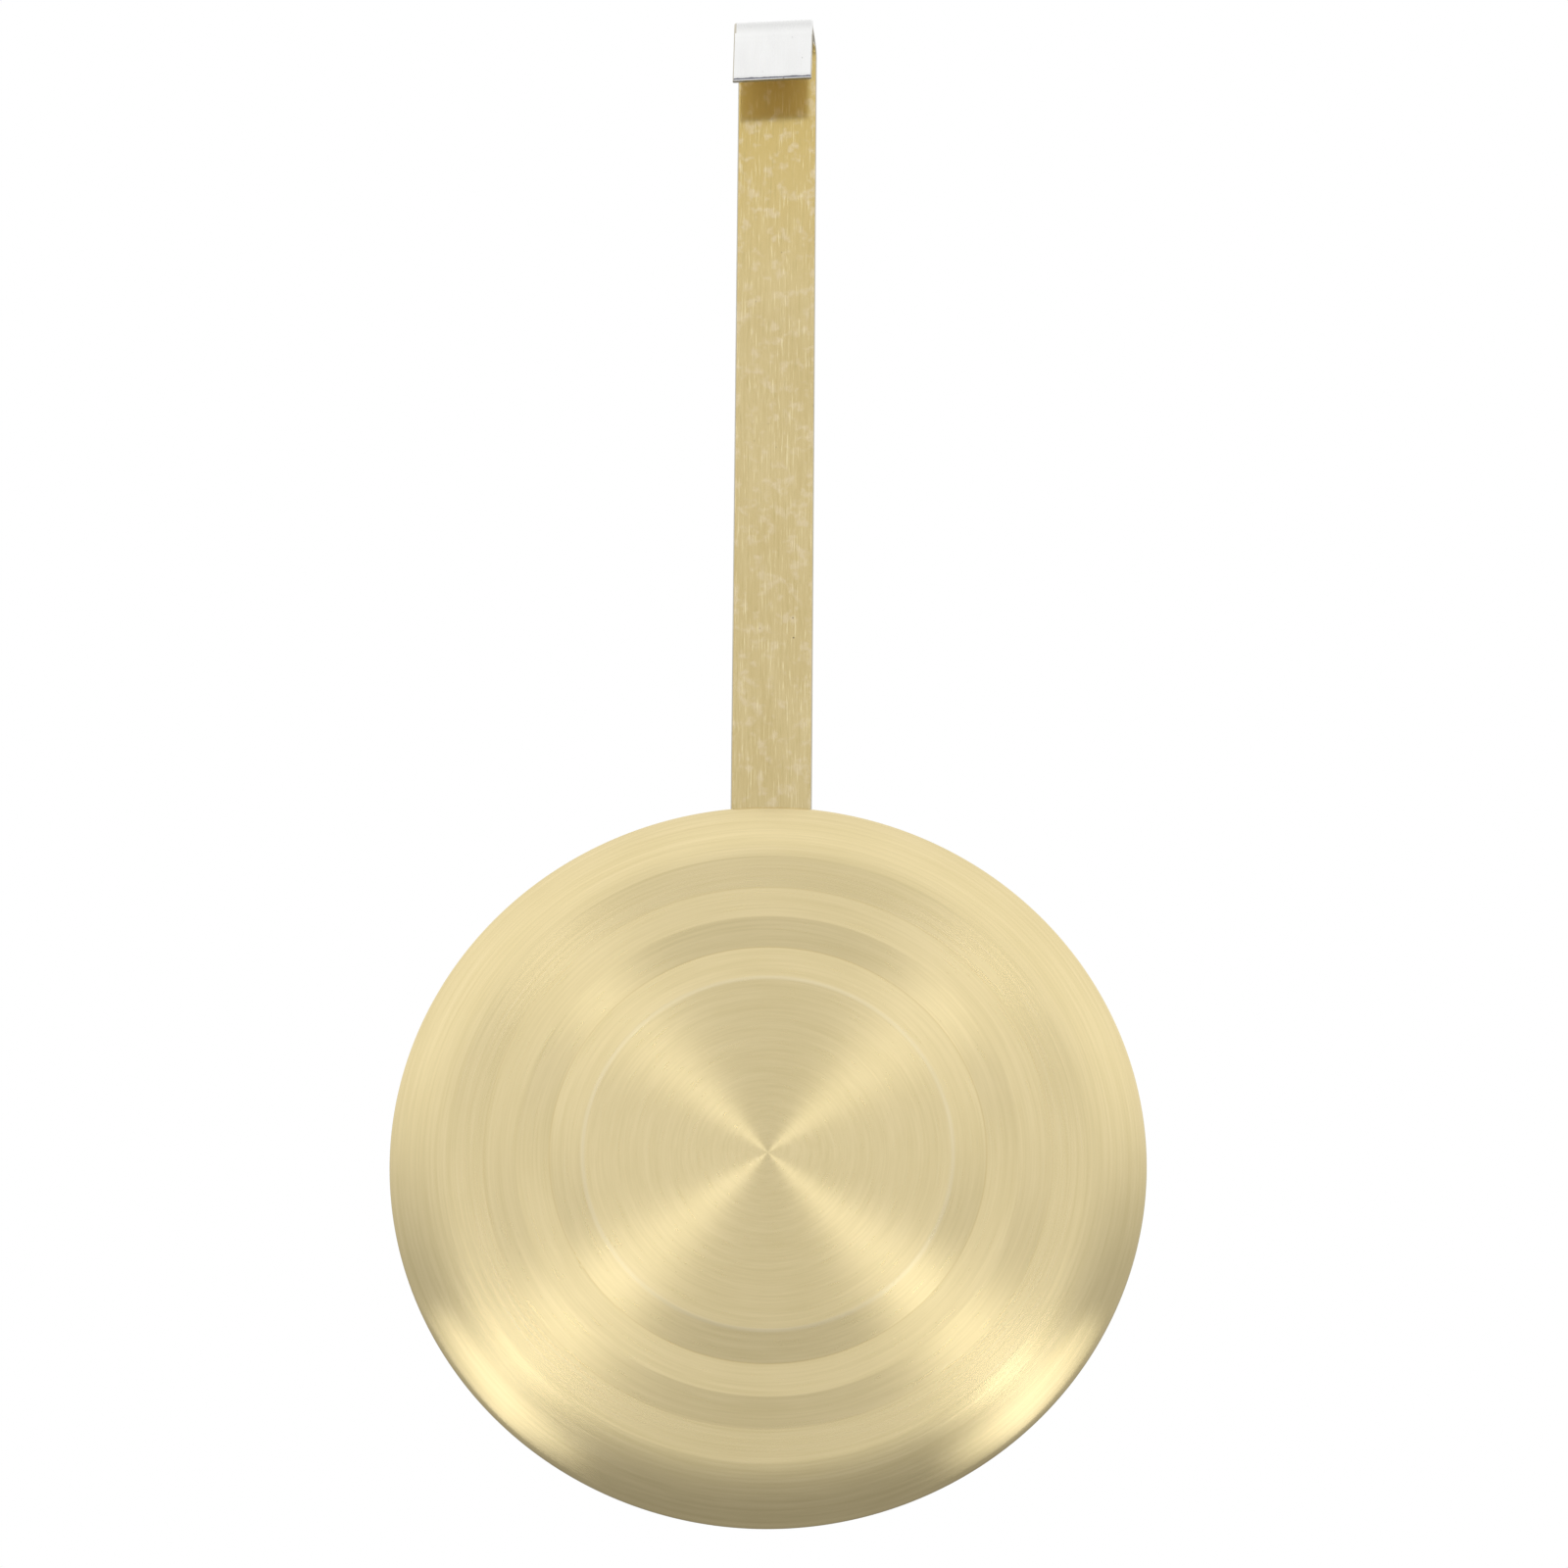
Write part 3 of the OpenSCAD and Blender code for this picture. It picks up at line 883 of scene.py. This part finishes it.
def make_weight():
    """Plain steel disc with broken edges, a window for the nut and four rivet holes."""
    low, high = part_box("weight_disc")
    outer = (high.x - low.x) / 2
    edge_r = 0.4 * MM
    outline = [(1e-6, low.y), (outer, low.y, edge_r), (outer, high.y, edge_r), (1e-6, high.y)]
    centre = Vector((BOB_CENTRE.x, 0, BOB_CENTRE.z))
    piece = revolve("weight", rounded(outline, 0), centre, "Y", 160)
    combine(piece, nut_window("window"), "DIFFERENCE")
    drill(piece, rivet_spots("weight_rivets"), WEIGHT_RIVET[0])
    bevel(piece, 0.1 * MM, 2)
    done(piece, "bob", IRON, "weight_steel", "weight_disc")


def make_bridge(node):
    """Hat-shaped guide folded from strip, with soft bends and round feet."""
    low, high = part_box(node)
    thick = 0.5 * MM
    side_gap = 0.15 * MM
    inner_r = 0.15 * MM
    mouth_r = 0.25 * MM
    outer_r = 0.45 * MM
    inside = size_of("suspension_strip").x / 2 + side_gap
    outside = inside + thick
    half_w = (high.x - low.x) / 2
    foot = low.y + thick
    top = high.y
    outline = [
        (-half_w, low.y, 0), (-inside, low.y, mouth_r), (-inside, top - thick, inner_r),
        (inside, top - thick, inner_r), (inside, low.y, mouth_r), (half_w, low.y, 0),
        (half_w, foot, 0), (outside, foot, inner_r), (outside, top, outer_r),
        (-outside, top, outer_r), (-outside, foot, inner_r), (-half_w, foot, 0),
    ]
    piece = prism(node + "_sheet", rounded(outline, 0, 6), low.z, high.z, "Z")
    ends = stadium(half_w, high.z - low.z, (low.z + high.z) / 2)
    combine(piece, prism("ends", ends, low.y - MM, high.y + MM, "Y"), "INTERSECT")
    spots = [(x, z) for x, z in rivet_spots("bridge_rivets") if low.z < z < high.z]
    drill(piece, spots, GUIDE_RIVET[0])
    bevel(piece, 0.07 * MM, 2)
    done(piece, "bob", ZINC, "steel_fittings", node)


def make_spring():
    """Leaf bowed forward against the strip, with a lip over each edge of the bridge."""
    low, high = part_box("brake_spring")
    thick = 0.15 * MM
    bow = 0.25 * MM
    middle = (low.z + high.z) / 2
    outer = (high.z - low.z) / 2
    inner = outer - thick
    steps = 12
    shares = [i / steps for i in range(-steps, steps + 1)]
    front = [(low.y + bow * t * t, middle + outer * t) for t in shares]
    back = [(low.y + thick + bow * t * t, middle + inner * t) for t in shares[::-1]]
    outline = [(high.y, middle - outer)] + front + [(high.y, middle + outer)]
    outline += [(high.y, middle + inner)] + back + [(high.y, middle - inner)]
    piece = prism("spring_leaf", outline, low.x, high.x, "X")
    bevel(piece, 0.03 * MM, 2)
    done(piece, "bob", SPRING, "spring_steel", "brake_spring")


def make_cage():
    """Strap with two ears turned back from it, which hold the nut between them."""
    low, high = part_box("nut_cage")
    half_w = (high.x - low.x) / 2
    strap = stadium(half_w, high.z - low.z, (low.z + high.z) / 2)
    piece = prism("cage", strap, low.y, low.y + CAGE_SHEET, "Y")
    combine(piece, nut_window("window"), "DIFFERENCE")
    for bottom in (low.z, high.z - CAGE_SHEET):
        ear = prism("ear", ear_outline(low.y, high.y), bottom, bottom + CAGE_SHEET, "Z")
        combine(piece, ear, "UNION")
    hole_r = size_of("rating_screw").x / 2 + EAR_GAP
    combine(piece, rod("hole", SCREW_AXIS, hole_r, low.z - MM, high.z + MM, "Z"), "DIFFERENCE")
    drill(piece, rivet_spots("cage_rivets"), GUIDE_RIVET[0])
    bevel(piece, 0.1 * MM, 3)
    done(piece, "bob", ZINC, "steel_fittings", "nut_cage")


def ear_outline(front, back):
    """Wide foot on the strap, then a tongue with a round end about the screw."""
    ear_r = back - SCREW_AXIS.y
    foot = 5.2 * MM
    bend_r = 0.3 * MM
    strap_back = front + CAGE_SHEET
    steps = 24
    points = [(foot, front), (foot, strap_back), (ear_r, strap_back, bend_r)]
    for i in range(steps + 1):
        a = math.pi * i / steps
        points.append((ear_r * math.cos(a), SCREW_AXIS.y + ear_r * math.sin(a), 0))
    points += [(-ear_r, strap_back, bend_r), (-foot, strap_back), (-foot, front)]
    return rounded(points, 0)


make_front_shell()
make_strip()
make_screw()
make_lock_pin()
make_collar()
make_carrier()
make_rivets("strip_rivets", "carrier_rivets", "rod")
make_back_plate()
make_weight()
make_rivets("plate_rivets", "weight_rivets", "bob")
make_bridge("upper_bridge")
make_bridge("lower_bridge")
make_rivets("guide_rivets", "bridge_rivets", "bob")
make_spring()
make_cage()
make_rivets("strap_rivets", "cage_rivets", "bob")
make_washer()
make_nut()


# ---------------------------------------------------------------- stage, light and camera

def make_stage():
    """Pale floor far below the pendulum. It gives the metal nothing to reflect."""
    floor_z = -0.46
    half = 3.0
    corners = [
        (-half, -half, floor_z), (half, -half, floor_z), (half, half, floor_z), (-half, half, floor_z)
    ]
    floor = make("floor", corners, [(0, 1, 2, 3)])
    look = Look("floor_white")
    grain = look.noise(look.place(), 6.0, 3.0, 0.5)
    look.set(
        Base_Color=look.blend(grain, (0.80, 0.80, 0.80, 1), (0.84, 0.84, 0.84, 1)),
        Roughness=0.7,
    )
    floor.data.materials.append(look.material)
    floor.visible_glossy = False


# Brightness of the studio that the metal reflects: elevation in degrees, then level
STUDIO_LEVELS = [
    (-90, 0.38), (-60, 0.36), (-40, 0.33), (-22, 0.33), (-8, 0.40), (4, 0.48), (13, 0.69),
    (21, 0.94), (30, 1.09), (60, 1.02), (90, 0.95),
]
# Towards the sides the studio is more even: where that starts, its share and its level
SIDE_START = 0.60
SIDE_SHARE = 0.50
SIDE_LEVEL = 0.68


def make_world():
    """White backdrop. What the metal reflects is bright above and dimmer below."""
    world = bpy.data.worlds.new("studio")
    bpy.context.scene.world = world
    world.use_nodes = True
    nodes = world.node_tree.nodes
    links = world.node_tree.links
    out = nodes["World Output"]
    studio = nodes["Background"]
    backdrop = nodes.new("ShaderNodeBackground")
    backdrop.inputs["Color"].default_value = (1, 1, 1, 1)
    mix = nodes.new("ShaderNodeMixShader")
    rays = nodes.new("ShaderNodeLightPath")
    place = nodes.new("ShaderNodeTexCoord")
    split = nodes.new("ShaderNodeSeparateXYZ")
    ramp = nodes.new("ShaderNodeValToRGB")
    height = nodes.new("ShaderNodeMapRange")
    height.inputs["From Min"].default_value = -1
    height.inputs["From Max"].default_value = 1
    while len(ramp.color_ramp.elements) < len(STUDIO_LEVELS):
        ramp.color_ramp.elements.new(0.5)
    for element, (degrees, level) in zip(ramp.color_ramp.elements, STUDIO_LEVELS):
        element.position = (math.sin(math.radians(degrees)) + 1) / 2
        element.color = (level, level, level, 1)
    sideways = nodes.new("ShaderNodeMath")
    sideways.operation = "ABSOLUTE"
    share = nodes.new("ShaderNodeMapRange")
    share.inputs["From Min"].default_value = SIDE_START
    share.inputs["To Max"].default_value = SIDE_SHARE
    even = nodes.new("ShaderNodeMix")
    even.inputs["B"].default_value = SIDE_LEVEL
    links.new(place.outputs["Generated"], split.inputs[0])
    links.new(split.outputs["Z"], height.inputs["Value"])
    links.new(height.outputs["Result"], ramp.inputs["Fac"])
    links.new(split.outputs["X"], sideways.inputs[0])
    links.new(sideways.outputs[0], share.inputs["Value"])
    links.new(share.outputs["Result"], even.inputs["Factor"])
    links.new(ramp.outputs["Color"], even.inputs["A"])
    links.new(even.outputs["Result"], studio.inputs["Color"])
    links.new(rays.outputs["Is Camera Ray"], mix.inputs[0])
    links.new(studio.outputs[0], mix.inputs[1])
    links.new(backdrop.outputs[0], mix.inputs[2])
    links.new(mix.outputs[0], out.inputs["Surface"])


def direction(azimuth, elevation):
    """Unit vector towards a place: azimuth 0 is in front of the bob, 90 is to its right."""
    a = math.radians(azimuth)
    e = math.radians(elevation)
    return Vector((math.sin(a) * math.cos(e), -math.cos(a) * math.cos(e), math.sin(e)))


def softbox(name, azimuth, elevation, side, watts):
    """Square soft light that faces the bob from one direction."""
    light = bpy.data.lights.new(name, "AREA")
    light.shape = "RECTANGLE"
    light.size = side
    light.size_y = side
    light.energy = watts
    lamp = bpy.data.objects.new(name, light)
    towards = direction(azimuth, elevation)
    lamp.location = BOB_CENTRE + towards * LIGHT_DISTANCE
    lamp.rotation_mode = "QUATERNION"
    lamp.rotation_quaternion = towards.to_track_quat("Z", "Y")
    bpy.context.scene.collection.objects.link(lamp)


# Distance of the lights from the bob in metres, then each light's name, azimuth and
# elevation in degrees, side in metres, and watts
LIGHT_DISTANCE = 0.70
LIGHTS = [
    ("softbox_left", -38, -14, 0.28, 0.36),
    ("softbox_right", 37, -15, 0.28, 0.39),
    ("near_left", -12, 8, 0.07, 0.064),
    ("near_right", 12, 6, 0.07, 0.074),
]


def make_camera():
    """Camera below the pendulum, looking up at it through a long lens."""
    aim = Vector((1.294, 0, -82.261)) * MM
    distance = 785.2 * MM
    roll = math.radians(0.464)
    back = direction(0.525, -20.774)
    data = bpy.data.cameras.new("camera")
    data.lens = 179.1
    data.sensor_width = 36
    camera = bpy.data.objects.new("camera", data)
    camera.location = aim + back * distance
    camera.rotation_mode = "QUATERNION"
    level = back.to_track_quat("Z", "Y").to_matrix().to_4x4()
    camera.rotation_quaternion = (Matrix.Rotation(roll, 4, back) @ level).to_quaternion()
    bpy.context.scene.collection.objects.link(camera)
    bpy.context.scene.camera = camera


make_stage()
make_world()
make_camera()
for light_settings in LIGHTS:
    softbox(*light_settings)
bpy.context.scene.view_settings.view_transform = "Standard"
